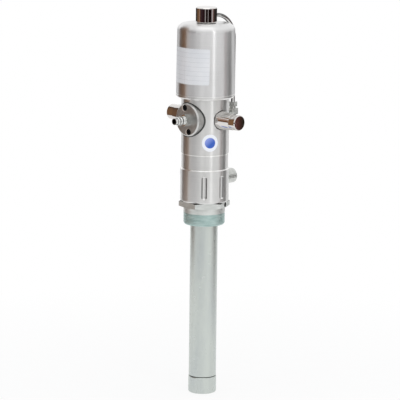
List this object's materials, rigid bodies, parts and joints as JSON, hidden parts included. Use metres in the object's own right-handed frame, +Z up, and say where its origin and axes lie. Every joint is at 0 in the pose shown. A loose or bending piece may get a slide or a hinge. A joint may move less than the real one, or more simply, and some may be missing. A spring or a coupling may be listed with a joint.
{
  "type": "air-operated drum pump",
  "caption": "Upright air-driven drum pump: a piston air motor with a shuttle valve on a bung adaptor, over a suction tube with a ball foot valve.",
  "frame": {"origin": "on the pump's centre line, at the shoulder of the bung thread that a drum's opening takes", "axes": "+Z up to the air motor, -Y towards the air inlet, +Y towards the oil outlet, X along the shuttle valve"},
  "size_m": [0.1396, 0.1249, 0.5676],
  "materials": {
    "cylinder_aluminium": "satin, turned",
    "casting_aluminium": "satin, turned",
    "flange_aluminium": "turned, dull",
    "chrome": "mirror",
    "green_zinc": "greenish zinc plate",
    "hex_zinc": "greenish zinc plate, worn",
    "tube_zinc": "pale zinc plate",
    "bright_zinc": "bright zinc plate",
    "black_steel": "black oxide",
    "steel": "ground",
    "hard_chrome": "hard chromed and polished",
    "bronze": "sintered, oiled",
    "rubber": "matt",
    "gasket": "matt",
    "acetal": "turned",
    "plate_foil": "silver foil, ruled, bare",
    "sticker_film": "white film with a plain blue middle"
  },
  "bodies": {
    "adaptor": {"bung_adaptor": "green_zinc", "adaptor_seal": "rubber"},
    "lock_screw_body": {"lock_screw": "black_steel"},
    "pump": {"pump_body": "casting_aluminium", "suction_tube": "tube_zinc", "tube_gasket": "gasket", "foot_valve": "tube_zinc", "foot_seal": "gasket", "foot_stop_pin": "steel", "air_cylinder": "cylinder_aluminium", "cylinder_seal": "rubber", "top_cap": "chrome", "top_cap_seal": "gasket", "bumper_upper": "rubber", "bumper_lower": "rubber", "transfer_pipe": "chrome", "pipe_nut": "bright_zinc", "pipe_ferrule": "steel", "elbow_fitting": "bright_zinc", "inlet_flange": "flange_aluminium", "inlet_gasket": "gasket", "flange_screws": "black_steel", "hose_barb": "bright_zinc", "valve_housing_right": "chrome", "valve_housing_left": "chrome", "valve_cap_right": "chrome", "valve_cap_left": "chrome", "valve_seal_right": "rubber", "valve_seal_left": "rubber", "spool_stop_right": "acetal", "spool_stop_left": "acetal", "outlet_fitting": "bright_zinc", "outlet_seal": "gasket", "rod_bush_upper": "bronze", "rod_seal_upper": "rubber", "gland_ring_upper": "steel", "rod_bush_lower": "bronze", "rod_seal_lower": "rubber", "gland_ring_lower": "steel"},
    "spool": {"valve_spool": "steel", "spool_seals": "rubber"},
    "piston_assembly": {"air_piston": "cylinder_aluminium", "air_piston_seals": "rubber", "piston_nut": "steel", "piston_rod": "hard_chrome", "rod_coupling": "steel", "pump_rod": "steel", "pump_piston": "steel", "pump_piston_seal": "rubber"},
    "piston_ball_body": {"piston_ball": "steel"},
    "foot_ball_body": {"foot_ball": "steel"}
  },
  "joints": [
    {"name": "pump_slide", "type": "slide", "parent": "adaptor", "child": "pump", "axis": [0, 0, 1], "range_m": [0, 0.22]},
    {"name": "lock_screw_travel", "type": "slide", "parent": "adaptor", "child": "lock_screw_body", "axis": [0.91, 0.4147, 0], "range_m": [0, 0.003]},
    {"name": "piston_stroke", "type": "slide", "parent": "pump", "child": "piston_assembly", "axis": [0, 0, 1], "range_m": [0, 0.066]},
    {"name": "spool_shift", "type": "slide", "parent": "pump", "child": "spool", "axis": [1, 0, 0], "range_m": [0, 0.008]},
    {"name": "piston_ball_lift", "type": "slide", "parent": "piston_assembly", "child": "piston_ball_body", "axis": [0, 0, 1], "range_m": [0, 0.004]},
    {"name": "foot_ball_lift", "type": "slide", "parent": "pump", "child": "foot_ball_body", "axis": [0, 0, 1], "range_m": [0, 0.006]}
  ]
}
